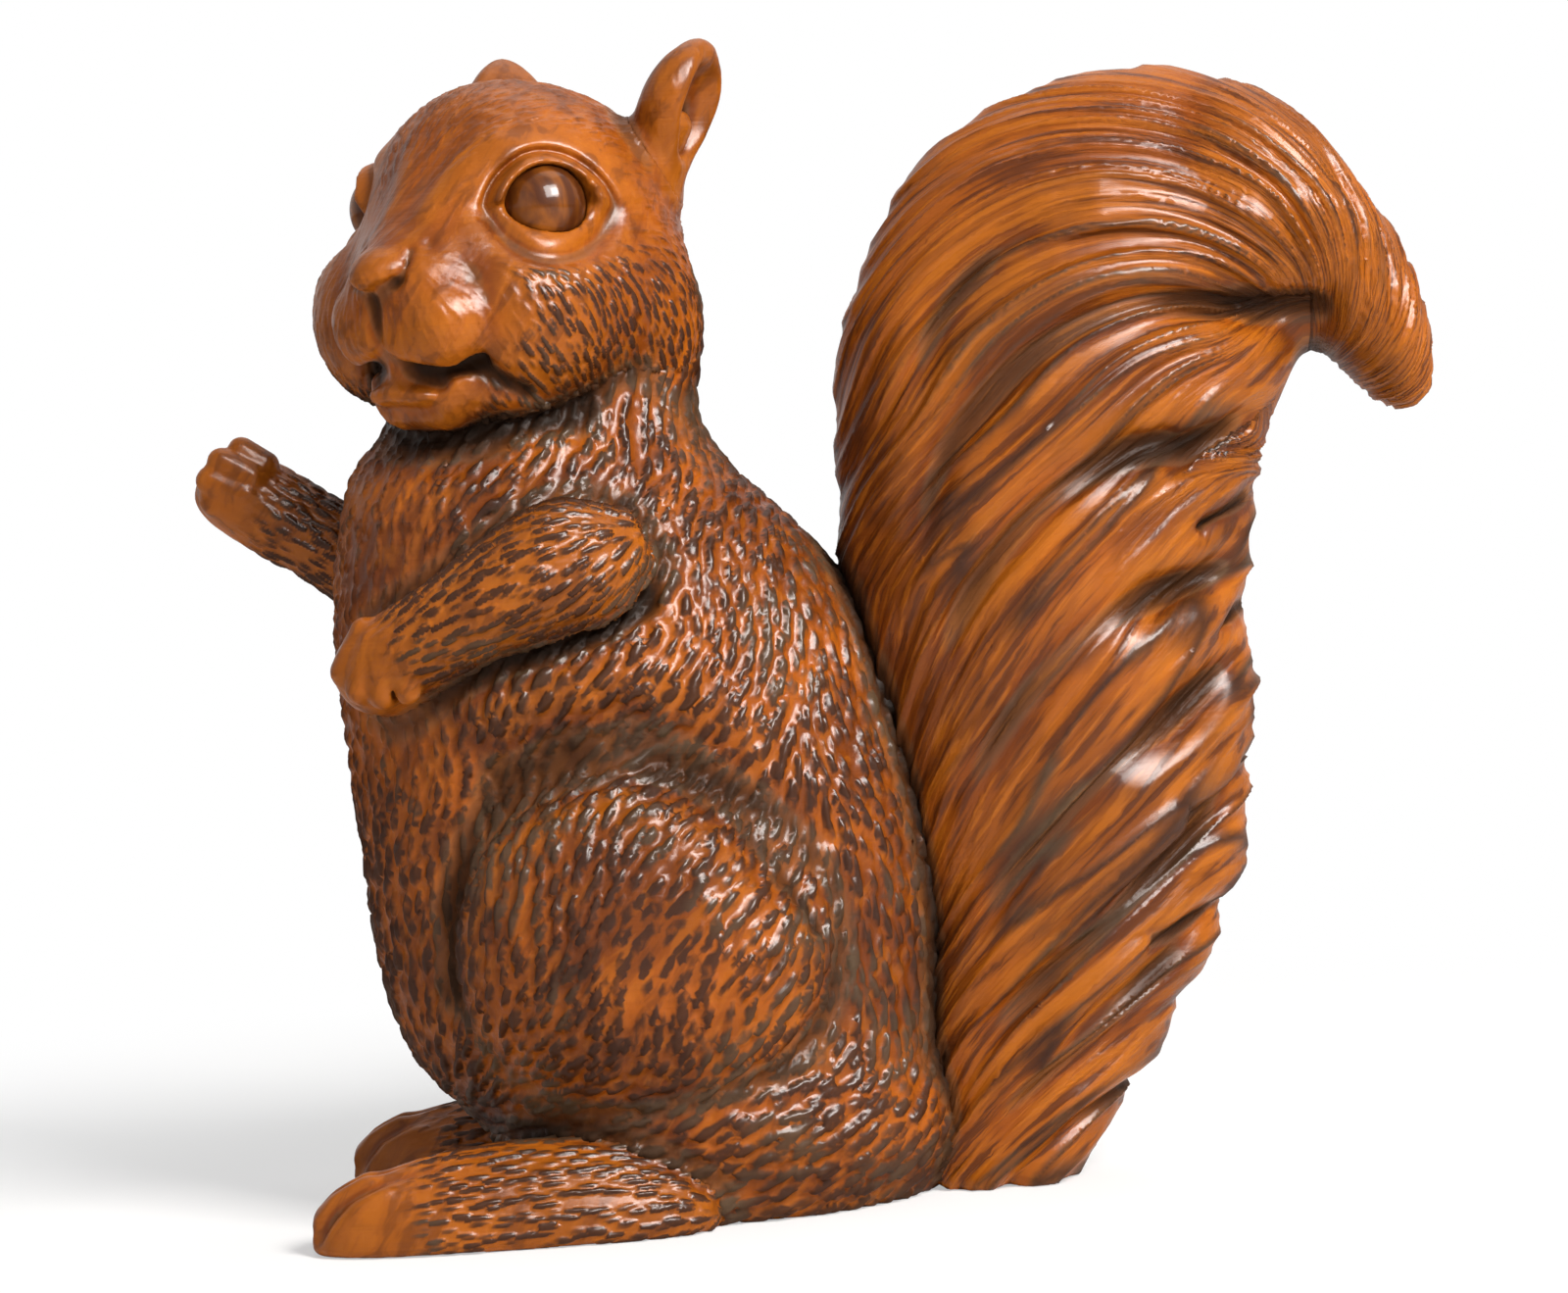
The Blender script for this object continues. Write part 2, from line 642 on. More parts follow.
def point_normals(points, quads):
    """The outward direction at each point of a surface."""
    spans = points[quads[:, 2]] - points[quads[:, 0]], points[quads[:, 3]] - points[quads[:, 1]]
    facing = np.cross(*spans)
    normals = np.zeros_like(points, dtype=np.float64)
    for corner in range(4):
        np.add.at(normals, quads[:, corner], facing)
    return normals / np.maximum(np.linalg.norm(normals, axis=1, keepdims=True), 1e-12)


def blend(values, start, end):
    """A smooth rise from nought at start to one at end."""
    share = np.clip((values - start) / (end - start), 0, 1)
    return share * share * (3 - 2 * share)


def along_surface(flow, normals):
    """A flow laid flat on the surface."""
    flow = flow - normals * np.sum(flow * normals, axis=1, keepdims=True)
    return flow / np.maximum(np.linalg.norm(flow, axis=1, keepdims=True), 1e-6)


# How the fur lies on each piece, how thick it is cut, and how long its cuts are


def torso_fur(points, normals):
    x, y, z = points.T
    low = blend(z, 15, 5)
    front = blend(x, -9, -14) * blend(z, 32, 24)
    chest = blend(x, -12, -17) * blend(z, 26, 34)
    back = blend(x, 5, 12)
    flow = np.stack([np.full_like(x, -0.55), 0 * y, np.full_like(x, -0.83)], axis=1)
    flow[:, 0] += 0.5 * front - 0.75 * low + 0.45 * chest + 0.62 * back
    flow[:, 2] += 0.35 * low
    swirl = np.sin(x * 0.31 + z * 0.17) * 0.22 + np.sin(z * 0.41 - x * 0.13 + y * 0.2) * 0.16
    flow[:, 0] += swirl
    weight = 1 - 0.35 * chest - 0.3 * back * blend(z, 30, 44)
    size = 1 - 0.4 * chest + 0.25 * low
    return along_surface(flow, normals), weight, size


def head_fur(points, normals):
    offsets = points - HEAD_CENTRE
    ahead, left, up = offsets @ AHEAD, offsets @ LEFT, offsets @ UP
    cheek = blend(up, 2.0, -4.0)
    flow = -AHEAD * (1 - 0.55 * cheek)[:, None] - UP * (0.95 * cheek - 0.1)[:, None]
    flow = flow + LEFT * (0.25 * np.sign(left) * blend(np.abs(left), 0, 4))[:, None]
    weight = 0.45 + 0.55 * cheek
    weight *= 0.25 + 0.75 * blend(ahead, 9.6, 7.6)
    for side in SIDES.values():
        eye = head_point(EYE_PLACE[0], side * EYE_PLACE[1], EYE_PLACE[2])
        weight *= blend(np.linalg.norm(points - eye, axis=1), 4.8, 6.2)
    return along_surface(flow, normals), weight, 1 + 0.3 * cheek


def limb_fur(start, end, smooth_from):
    """Fur along a limb that runs smooth towards its paw."""
    run = np.asarray(end, float) - np.asarray(start, float)

    def lie(points, normals):
        share = (points - start) @ run / (run @ run)
        flow = np.broadcast_to(run, points.shape) + 0.0
        weight = 1 - 0.9 * blend(share, smooth_from, smooth_from + 0.15)
        return along_surface(flow, normals), weight, np.ones(len(points))

    return lie


def ear_fur(points, normals):
    flow = np.broadcast_to(UP, points.shape) + 0.0
    return along_surface(flow, normals), np.full(len(points), 0.3), np.ones(len(points))


FUR = {
    "torso": torso_fur,
    "head": head_fur,
    "left_ear": ear_fur,
    "right_ear": ear_fur,
    "left_foreleg": limb_fur((-1.7, -12.7, 45.1), LEFT_TIP, 0.72),
    "right_foreleg": limb_fur((-10.6, 8.8, 36.8), RIGHT_TIP, 0.72),
    "left_foot": limb_fur(foot_point(1, 0, 0, 5), foot_point(1, 23, 0, 3), 0.66),
    "right_foot": limb_fur(foot_point(-1, 0, 0, 5), foot_point(-1, 23, 0, 3), 0.66),
}
# Spacing, half length, half width and depth of the cuts, and the depth of the tool's facets
CUTS = {
    "torso": (1.2, 1.2, 0.26, 0.4, 0.14),
    "head": (0.8, 0.7, 0.14, 0.2, 0.08),
    "left_ear": (1.2, 0.8, 0.22, 0.08, 0.05),
    "right_ear": (1.2, 0.8, 0.22, 0.08, 0.05),
    "left_foreleg": (0.95, 1.1, 0.19, 0.26, 0.1),
    "right_foreleg": (0.95, 1.1, 0.19, 0.26, 0.1),
    "left_foot": (1.0, 1.2, 0.19, 0.2, 0.08),
    "right_foot": (1.0, 1.2, 0.19, 0.2, 0.08),
}

# Geometry Nodes


class Tree:
    """A Geometry Nodes tree with named inputs, built node by node."""

    def __init__(self, name, inputs):
        self.group = bpy.data.node_groups.new(name, "GeometryNodeTree")
        self.inputs = {}
        for label, kind in inputs.items():
            socket = self.group.interface.new_socket(label, in_out="INPUT", socket_type=kind)
            self.inputs[label] = socket.identifier
        self.group.interface.new_socket("Geometry", in_out="OUTPUT", socket_type="NodeSocketGeometry")
        self.start = self.group.nodes.new("NodeGroupInput")
        self.end = self.group.nodes.new("NodeGroupOutput")

    def node(self, kind, settings=None, sockets=None):
        """A node with its settings made first, then its sockets given values or links."""
        node = self.group.nodes.new(kind)
        for setting, value in (settings or {}).items():
            setattr(node, setting, value)
        for key, value in (sockets or {}).items():
            if isinstance(value, bpy.types.NodeSocket):
                self.group.links.new(value, node.inputs[key])
            else:
                node.inputs[key].default_value = value
        return node

    def given(self, label):
        """The socket of one of the tree's named inputs."""
        return self.start.outputs[label]

    def math(self, operation, *values):
        """A Math node's result."""
        return self.node("ShaderNodeMath", {"operation": operation}, dict(enumerate(values))).outputs[0]

    def vector(self, operation, *values):
        """A Vector Math node's result: a number for a dot product or a length, or else a vector."""
        node = self.node("ShaderNodeVectorMath", {"operation": operation}, dict(enumerate(values)))
        return node.outputs["Value" if operation in ("DOT_PRODUCT", "LENGTH") else "Vector"]

    def scaled(self, vector, factor):
        """A vector made longer or shorter."""
        settings = {"operation": "SCALE"}
        return self.node("ShaderNodeVectorMath", settings, {0: vector, "Scale": factor}).outputs["Vector"]

    def attribute(self, label, kind="FLOAT"):
        """A named attribute of the surface."""
        node = self.node("GeometryNodeInputNamedAttribute", {"data_type": kind}, {"Name": label})
        return node.outputs["Attribute"]

    def stored(self, geometry, label, value):
        """The geometry with a number stored on its points."""
        settings = {"data_type": "FLOAT", "domain": "POINT"}
        sockets = {"Geometry": geometry, "Name": label, "Value": value}
        return self.node("GeometryNodeStoreNamedAttribute", settings, sockets).outputs["Geometry"]

    def noise(self, vector, scale, detail=1.0):
        """Smooth noise between nought and one."""
        sockets = {"Vector": vector, "Scale": scale, "Detail": detail, "Roughness": 0.5}
        return self.node("ShaderNodeTexNoise", {"noise_dimensions": "3D"}, sockets).outputs[0]

    def finish(self, geometry):
        """Ends the tree in realised geometry with the piece's material."""
        real = self.node("GeometryNodeRealizeInstances", None, {"Geometry": geometry})
        sockets = {"Geometry": real.outputs["Geometry"], "Material": self.given("Material")}
        finished = self.node("GeometryNodeSetMaterial", None, sockets)
        self.group.links.new(finished.outputs["Geometry"], self.end.inputs["Geometry"])


FUR_LAYERS = 3


def fur_tree():
    """Cuts seeded gouges that lie along the fur, on a surface that keeps the facets of the tool."""
    tree = Tree(
        "fur gouges",
        {
            "Surface": "NodeSocketGeometry",
            "Spacing": "NodeSocketFloat",
            "Half length": "NodeSocketFloat",
            "Half width": "NodeSocketFloat",
            "Depth": "NodeSocketFloat",
            "Facets": "NodeSocketFloat",
            "Seed": "NodeSocketInt",
            "Material": "NodeSocketMaterial",
        },
    )
    surface = tree.given("Surface")
    place = tree.node("GeometryNodeInputPosition").outputs[0]
    normal = tree.node("GeometryNodeInputNormal").outputs[0]
    lie = tree.attribute("lie", "FLOAT_VECTOR")
    weight = tree.attribute("weight")
    size = tree.attribute("size")
    sideways = tree.vector("CROSS_PRODUCT", normal, lie)
    deepest = None
    for layer in range(FUR_LAYERS):
        seed = tree.math("ADD", tree.given("Seed"), layer)
        scattered = tree.node(
            "GeometryNodeDistributePointsOnFaces",
            {"distribute_method": "POISSON"},
            {
                "Mesh": surface,
                "Distance Min": tree.given("Spacing"),
                "Density Max": 4.0e6,
                "Seed": seed,
            },
        ).outputs["Points"]
        nearest = tree.node(
            "GeometryNodeSampleNearest", {"domain": "POINT"}, {"Geometry": scattered, "Sample Position": place}
        ).outputs["Index"]
        centre = tree.node(
            "GeometryNodeSampleIndex",
            {"data_type": "FLOAT_VECTOR", "domain": "POINT"},
            {"Geometry": scattered, "Value": place, "Index": nearest},
        ).outputs["Value"]
        vary = tree.node(
            "FunctionNodeRandomValue",
            {"data_type": "FLOAT"},
            {"Min": 0.55, "Max": 1.2, "ID": nearest, "Seed": seed},
        )
        vary = next(socket for socket in vary.outputs if socket.enabled)
        offset = tree.vector("SUBTRACT", place, centre)
        along = tree.vector("DOT_PRODUCT", offset, lie)
        aside = tree.vector("DOT_PRODUCT", offset, sideways)
        length = tree.math("MULTIPLY", tree.math("MULTIPLY", tree.given("Half length"), size), vary)
        width = tree.math("MULTIPLY", tree.given("Half width"), size)
        taper = tree.math("ADD", 1.0, tree.math("MULTIPLY", tree.math("DIVIDE", along, length), 0.35))
        run = tree.math("POWER", tree.math("DIVIDE", along, length), 2.0)
        spread = tree.math("POWER", tree.math("DIVIDE", aside, tree.math("MULTIPLY", width, taper)), 2.0)
        bite = tree.math("MAXIMUM", tree.math("SUBTRACT", 1.0, tree.math("ADD", run, spread)), 0.0)
        bite = tree.math("MULTIPLY", bite, vary)
        deepest = bite if deepest is None else tree.math("MAXIMUM", deepest, bite)
    pit = tree.math("MULTIPLY", deepest, weight)
    facets = tree.math("SUBTRACT", tree.noise(place, 420.0), 0.5)
    drop = tree.math("MULTIPLY", pit, tree.given("Depth"))
    drop = tree.math("ADD", drop, tree.math("MULTIPLY", tree.math("ADD", facets, 0.3), tree.given("Facets")))
    moved = tree.node(
        "GeometryNodeSetPosition", None, {"Geometry": surface, "Offset": tree.scaled(normal, tree.math("MULTIPLY", drop, -1.0))}
    ).outputs["Geometry"]
    tree.finish(tree.stored(moved, "pit", pit))
    return tree


VALLEY_SLOPE = 3.4
GROOVE_SLOPE = 7.5


def strand_tree():
    """Cuts locks, strands and fine hairs along the tail, from its strand and run attributes."""
    tree = Tree(
        "tail strands",
        {
            "Surface": "NodeSocketGeometry",
            "Lock width": "NodeSocketFloat",
            "Lock depth": "NodeSocketFloat",
            "Strand width": "NodeSocketFloat",
            "Strand depth": "NodeSocketFloat",
            "Hair width": "NodeSocketFloat",
            "Hair depth": "NodeSocketFloat",
            "Material": "NodeSocketMaterial",
        },
    )
    surface = tree.given("Surface")
    normal = tree.node("GeometryNodeInputNormal").outputs[0]
    weight = tree.attribute("weight")
    strand = tree.attribute("strand")
    run = tree.attribute("run")
    depth_across = tree.attribute("layer")
    drop = None
    grooves = None
    for label, stretch, share in (("Lock", 9.0, 0.5), ("Strand", 14.0, 0.8), ("Hair", 16.0, 0.35)):
        width = tree.given(f"{label} width")
        coordinate = tree.node(
            "ShaderNodeCombineXYZ",
            None,
            {
                0: tree.math("DIVIDE", strand, width),
                1: tree.math("DIVIDE", run, tree.math("MULTIPLY", width, stretch)),
                2: tree.math("DIVIDE", depth_across, tree.math("MULTIPLY", width, 6.0)),
            },
        ).outputs[0]
        wave = tree.math("ABSOLUTE", tree.math("SUBTRACT", tree.math("MULTIPLY", tree.noise(coordinate, 0.6), 2.0), 1.0))
        valley = tree.math("MAXIMUM", tree.math("SUBTRACT", 1.0, tree.math("MULTIPLY", wave, VALLEY_SLOPE)), 0.0)
        valley = tree.math("MULTIPLY", tree.math("POWER", valley, 1.6), weight)
        step = tree.math("MULTIPLY", valley, tree.given(f"{label} depth"))
        drop = step if drop is None else tree.math("ADD", drop, step)
        groove = tree.math("MAXIMUM", tree.math("SUBTRACT", 1.0, tree.math("MULTIPLY", wave, GROOVE_SLOPE)), 0.0)
        groove = tree.math("MULTIPLY", tree.math("MULTIPLY", groove, weight), share)
        grooves = groove if grooves is None else tree.math("MAXIMUM", grooves, groove)
    moved = tree.node(
        "GeometryNodeSetPosition", None, {"Geometry": surface, "Offset": tree.scaled(normal, tree.math("MULTIPLY", drop, -1.0))}
    ).outputs["Geometry"]
    tree.finish(tree.stored(moved, "pit", grooves))
    return tree


TRIANGLE_LIMIT = 190000


def baked(piece, modifier):
    """Keeps a modifier's result as the piece's own plain mesh."""
    evaluated = piece.evaluated_get(bpy.context.evaluated_depsgraph_get())
    mesh = bpy.data.meshes.new_from_object(evaluated)
    piece.modifiers.remove(modifier)
    old = piece.data
    piece.data = mesh
    bpy.data.meshes.remove(old)
    mesh.name = piece.name


def dressed(piece, tree, values):
    """Runs a tree on a piece, thins what is past the triangle limit and stays in the solids' box."""
    modifier = piece.modifiers.new(tree.group.name, "NODES")
    modifier.node_group = tree.group
    for label, value in values.items():
        modifier[tree.inputs[label]] = value
    baked(piece, modifier)
    triangles = len(piece.data.loops) - 2 * len(piece.data.polygons)
    if triangles > TRIANGLE_LIMIT:
        thin = piece.modifiers.new("thin", "DECIMATE")
        thin.ratio = TRIANGLE_LIMIT / triangles
        baked(piece, thin)
    mesh = piece.data
    places = np.empty(len(mesh.vertices) * 3, np.float32)
    mesh.vertices.foreach_get("co", places)
    places = np.clip(places.reshape(-1, 3), *np.array(cad_box, np.float32))
    mesh.vertices.foreach_set("co", places.ravel())
    mesh.update()
    mesh.shade_smooth()


# Materials


class Value:
    """A socket that takes part in sums, so that shader maths reads as maths."""

    def __init__(self, shader, socket):
        self.shader, self.socket = shader, socket

    def _math(self, operation, *values):
        return self.shader.math(operation, *values)

    def __add__(self, other):
        return self._math("ADD", self, other)

    def __radd__(self, other):
        return self._math("ADD", other, self)

    def __sub__(self, other):
        return self._math("SUBTRACT", self, other)

    def __rsub__(self, other):
        return self._math("SUBTRACT", other, self)

    def __mul__(self, other):
        return self._math("MULTIPLY", self, other)

    def __rmul__(self, other):
        return self._math("MULTIPLY", other, self)

    def __pow__(self, other):
        return self._math("POWER", self, other)

    def between(self, low, high):
        """A smooth rise from nought at the low value to one at the high one."""
        sockets = {"Value": self, "From Min": low, "From Max": high, "To Min": 0.0, "To Max": 1.0}
        return self.shader.node(
            "ShaderNodeMapRange", {"interpolation_type": "SMOOTHSTEP", "clamp": True}, sockets
        )


class Finish:
    """A material and the nodes that are added to it."""

    def __init__(self, name):
        self.material = bpy.data.materials.new(name)
        self.material.use_nodes = True
        self.nodes = self.material.node_tree.nodes
        self.links = self.material.node_tree.links
        self.shader = self.nodes["Principled BSDF"]

    def node(self, kind, settings=None, sockets=None, output=0):
        """A node with its settings made first, then its sockets given values or links."""
        node = self.nodes.new(kind)
        for setting, value in (settings or {}).items():
            if setting == "stops":
                self._ramp(node.color_ramp, value)
            else:
                setattr(node, setting, value)
        for key, value in (sockets or {}).items():
            self.feed(node.inputs[key], value)
        return Value(self, node.outputs[output])

    def _ramp(self, ramp, stops):
        for index, (place, colour) in enumerate(stops):
            element = ramp.elements[index] if index < 2 else ramp.elements.new(place)
            element.position = place
            element.color = (*colour, 1.0)

    def feed(self, socket, value):
        """Gives a socket a link or a plain value."""
        if isinstance(value, Value):
            self.links.new(value.socket, socket)
        else:
            socket.default_value = value

    def math(self, operation, *values):
        return self.node("ShaderNodeMath", {"operation": operation}, dict(enumerate(values)))

    def mix(self, share, one, other, blend_type="MIX"):
        """One colour turned towards another."""
        settings = {"data_type": "RGBA", "blend_type": blend_type, "clamp_factor": True}
        colours = {
            6: one if isinstance(one, Value) else (*one, 1.0),
            7: other if isinstance(other, Value) else (*other, 1.0),
        }
        return self.node("ShaderNodeMix", settings, {0: share, **colours}, output=2)

    def attribute(self, label):
        """A number stored on the surface."""
        return self.node("ShaderNodeAttribute", {"attribute_name": label}, output=2)

    def place(self, stretch, turn):
        """Object coordinates, turned about the Y axis and then stretched along each axis."""
        where = self.node("ShaderNodeTexCoord", output=3)
        sockets = {"Vector": where, "Rotation": (0.0, turn, 0.0), "Scale": stretch}
        return self.node("ShaderNodeMapping", {"vector_type": "TEXTURE"}, sockets)

    def noise(self, scale, detail=3.0, stretch=(1, 1, 1), warp=0.0, turn=0.0):
        """Noise between nought and one on Object coordinates."""
        sockets = {"Vector": self.place(stretch, turn), "Scale": scale, "Detail": detail, "Distortion": warp}
        return self.node("ShaderNodeTexNoise", None, sockets)

    def set(self, **values):
        """Sets or links sockets of the surface shader, by their names with underscores."""
        for name, value in values.items():
            self.feed(self.shader.inputs[name.replace("_", " ")], value)

    def bump(self, *layers):
        """Bump nodes, one on another, from pairs of a height and its depth in metres."""
        normal = None
        for height, depth in layers:
            sockets = {"Height": height, "Strength": 1.0, "Distance": depth}
            if normal is not None:
                sockets["Normal"] = normal
            normal = self.node("ShaderNodeBump", None, sockets)
        self.set(Normal=normal)


AMBER = (0.28, 0.066, 0.004)
HONEY = (0.43, 0.125, 0.008)
RED_BROWN = (0.07, 0.017, 0.0036)
UMBER = (0.024, 0.009, 0.004)
SOOT = (0.009, 0.005, 0.003)
DUST = (0.11, 0.075, 0.04)


HAIR_TURN = np.radians(33.0)


def body_hairs(finish):
    """Fine hairs that slope down and forwards."""
    return finish.noise(800.0, 3.0, stretch=(1.0, 1.0, 4.5), warp=0.5, turn=HAIR_TURN)


def tail_hairs(finish):
    """Fine hairs that follow the strands of the tail."""
    strand, run, layer = (finish.attribute(label) for label in ("strand", "run", "layer"))
    where = finish.node("ShaderNodeCombineXYZ", None, {0: strand * 1.5, 1: run * 0.09, 2: layer * 0.35})
    return finish.node("ShaderNodeTexNoise", None, {"Vector": where, "Scale": 1.0, "Detail": 3.0})


def lacquered_fur(name, light, middle, stain, hairs, hair_share, hair_depth):
    """Stained and lacquered carving: amber on the ridges, dark and dusty in the cuts and creases.

    The stain is the share of dark colour in the cuts, and hairs makes the fine lines between them.
    """
    finish = Finish(name)
    hollow = finish.attribute("hollow")
    pit = finish.attribute("pit")
    patches = finish.noise(95.0, 3.0, warp=0.6)
    streaks = finish.noise(260.0, 4.0, stretch=(1.0, 1.0, 3.0), warp=1.2, turn=HAIR_TURN)
    colour = finish.mix(patches.between(0.36, 0.66), middle, light)
    colour = finish.mix(streaks.between(0.5, 0.75) * 0.25, colour, RED_BROWN)
    ridge = (0 - hollow).between(0.02, 0.35)
    colour = finish.mix(ridge * 0.35, colour, HONEY)
    fine = hairs(finish)
    colour = finish.mix(fine.between(0.48, 0.38) * (0.5 * hair_share), colour, HONEY)
    colour = finish.mix(fine.between(0.52, 0.64) * hair_share, colour, RED_BROWN)
    cuts = pit.between(0.22, 0.85)
    colour = finish.mix(cuts * stain, colour, UMBER)
    dusty = cuts * finish.noise(140.0, 2.0).between(0.5, 0.66)
    colour = finish.mix(dusty * 0.3, colour, DUST)
    colour = finish.mix(hollow.between(0.03, 0.2) * 0.3, colour, DUST)
    deep = hollow.between(0.12, 0.5)
    colour = finish.mix(deep * 0.7, colour, UMBER)
    colour = finish.mix(hollow.between(0.4, 0.9) * 0.85, colour, SOOT)
    grain = finish.noise(1500.0, 3.0, stretch=(1.0, 1.0, 4.0))
    lines = finish.noise(900.0, 1.0, stretch=(20.0, 20.0, 0.25))
    finish.set(
        Base_Color=colour,
        Roughness=0.32 + 0.16 * grain + 0.3 * cuts,
        Coat_Weight=0.22 - 0.21 * deep,
        Coat_Roughness=0.24,
        Specular_IOR_Level=0.04,
    )
    finish.bump((fine, hair_depth * MM), (grain, 0.05 * MM), (lines, 0.04 * MM))
    return finish.material


def polished_eye():
    """Dark polished wood, warmer towards the lower middle of the ball."""
    finish = Finish("polished eye")
    figure = finish.noise(420.0, 4.0, stretch=(1.0, 1.0, 3.0), warp=0.8)
    colour = finish.mix(figure.between(0.4, 0.72), (0.06, 0.015, 0.003), (0.26, 0.075, 0.006))
    finish.set(Base_Color=colour, Roughness=0.36 + 0.1 * figure, Coat_Weight=0.3, Coat_Roughness=0.1, Specular_IOR_Level=0.05)
    finish.bump((figure, 0.00001))
    return finish.material


def plain_dowel():
    """Pale unfinished wood with a straight grain."""
    finish = Finish("plain dowel")
    grain = finish.noise(900.0, 4.0, stretch=(1.0, 1.0, 12.0), warp=0.4)
    colour = finish.mix(grain.between(0.3, 0.75), (0.62, 0.45, 0.26), (0.42, 0.27, 0.13))
    finish.set(Base_Color=colour, Roughness=0.6 + 0.15 * grain)
    finish.bump((grain, 0.00003))
    return finish.material


body_wood = lacquered_fur("body wood", AMBER, (0.13, 0.028, 0.0026), 0.9, body_hairs, 0.45, 0.15)
tail_wood = lacquered_fur("tail wood", (0.25, 0.058, 0.003), (0.115, 0.025, 0.0024), 0.9, tail_hairs, 0.85, 0.35)
eye_wood = polished_eye()
dowel_wood = plain_dowel()

# The fur-covered pieces
fur = fur_tree()
for order, (node, lay) in enumerate(FUR.items()):
    points, quads, hollow = carved_surface(node)
    lie, weight, size = lay(points, point_normals(points, quads))
    piece = new_piece(
        f"carved_{node}", points, quads, {"hollow": hollow, "lie": lie, "weight": weight, "size": size}
    )
    spacing, half_length, half_width, depth, facets = CUTS[node]
    dressed(
        piece,
        fur,
        {
            "Spacing": spacing * MM,
            "Half length": half_length * MM,
            "Half width": half_width * MM,
            "Depth": depth * MM,
            "Facets": facets * MM,
            "Seed": 11 + 7 * order,
            "Material": body_wood,
        },
    )
    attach(piece, "root")
    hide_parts(node)

# The tail: strands climb its near edge and sweep across to the far one, and turn over at the top
CURL_PIVOT = np.array([43.2, 53.0])
CURL_REACH = 20.0
SWEEP = 1.6


def tail_flow(points):
    """For points of the tail, which strand they are on and how far along it, in millimetres."""
    x, z = points[:, 0], points[:, 2]
    heights = np.linspace(0, CURL_PIVOT[1], 28)
    bands = np.digitize(z, heights)
    near = np.array([x[bands == band].min() if (bands == band).any() else np.nan for band in range(1, 28)])
    far = np.array([x[bands == band].max() if (bands == band).any() else np.nan for band in range(1, 28)])
    middles = (heights[1:] + heights[:-1]) / 2
    far[middles > 44] = np.interp(middles[middles > 44], [44, CURL_PIVOT[1]], [far[middles <= 44][-1], CURL_PIVOT[0]])
    low_x, high_x = np.interp(z, middles, near), np.interp(z, middles, far)
    across = np.clip((x - low_x) / (high_x - low_x), 0, 1)
    rise = z.copy()
    over = z > CURL_PIVOT[1]
    over |= x > CURL_PIVOT[0]
    arm = points[:, [0, 2]] - CURL_PIVOT
    reach = np.linalg.norm(arm, axis=1)
    angle = np.arctan2(arm[:, 1], -arm[:, 0])
    angle = np.where(angle < -0.6, angle + 2 * np.pi, angle)
    turns = np.linspace(-0.6, 2 * np.pi - 0.6, 40)
    sectors = np.digitize(angle, turns)
    rim = np.array([reach[over & (sectors == s)].max() if (over & (sectors == s)).any() else np.nan for s in range(1, 40)])
    seen = ~np.isnan(rim)
    centres = (turns[1:] + turns[:-1]) / 2
    outer = np.interp(angle, centres[seen], rim[seen])
    turned = blend(z, CURL_PIVOT[1] - 7, CURL_PIVOT[1] + 5) * blend(reach, 3, 8)
    turned = np.where(over & ((x > CURL_PIVOT[0]) | (z > CURL_PIVOT[1] + 5)), 1.0, turned)
    across = across + turned * (np.clip(1 - reach / outer, 0, 1) - across)
    rise = rise + turned * (CURL_PIVOT[1] + angle * CURL_REACH - rise)
    climb = 13 + 0.32 * np.clip(rise, 0, 80)
    strand = rise - climb * across ** (1 / SWEEP)
    run = rise * 0.5 + across * 26
    return strand, run, across, rise


points, quads, hollow = carved_surface("tail")
strand, run, across, rise = tail_flow(points)
from_pivot = np.linalg.norm(points[:, [0, 2]] - CURL_PIVOT, axis=1)
tail = new_piece(
    "carved_tail",
    points,
    quads,
    {
        "hollow": hollow,
        "strand": strand,
        "run": run,
        "layer": points[:, 1],
        "weight": (0.45 + 0.55 * blend(across, 0.0, 0.35)) * (0.15 + 0.85 * blend(from_pivot, 3.0, 10.0)),
    },
)
dressed(
    tail,
    strand_tree(),
    {
        "Lock width": 4.2,
        "Lock depth": 0.6 * MM,
        "Strand width": 2.0,
        "Strand depth": 0.6 * MM,
        "Hair width": 1.1,
        "Hair depth": 0.22 * MM,
        "Material": tail_wood,
    },
)
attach(tail, "root")
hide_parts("tail")

# Eyes: polished beads on their stems
for name in SIDES:
    low, high = node_box(f"{name}_eye")
    block = Block(low - 0.6, high + 0.6, 0.09)
    points, quads = block.surface(softened(block.solid(f"{name}_eye"), 1))
    eye = new_piece(f"bead_{name}_eye", points, quads)
    eye.data.materials.append(eye_wood)
    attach(eye, "root")
    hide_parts(f"{name}_eye")

# Dowels stay as they are in the solids, inside the glued joints
for pins in PINS:
    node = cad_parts[pins]
    node.data.materials.clear()
    node.data.materials.append(dowel_wood)

# Floor, light and camera
FLOOR_HALF = 3.0
floor = new_piece(
    "floor",
    np.array([(-1, -1, 0), (1, -1, 0), (1, 1, 0), (-1, 1, 0)]) * FLOOR_HALF / MM - (0, 0, 0.05),
    np.array([[0, 1, 2, 3]]),
)
pale = Finish("pale floor")
speckle = pale.noise(40.0, 2.0)
pale.set(Base_Color=pale.mix(speckle, (0.86, 0.86, 0.86), (0.9, 0.9, 0.9)), Roughness=0.8)
glow = pale.node("ShaderNodeEmission", None, {"Color": (1, 1, 1, 1), "Strength": 1.0})
seen = pale.node("ShaderNodeLightPath", output=0)
where = pale.node("ShaderNodeTexCoord", output=3)
away = pale.node("ShaderNodeVectorMath", {"operation": "LENGTH"}, {0: where}, output=1)
shown = pale.node(
    "ShaderNodeMixShader",
    None,
    {0: seen * (0.45 + 0.55 * away.between(0.04, 0.14)), 1: Value(pale, pale.shader.outputs[0]), 2: glow},
)
pale.feed(pale.nodes["Material Output"].inputs["Surface"], shown)
floor.data.materials.append(pale.material)

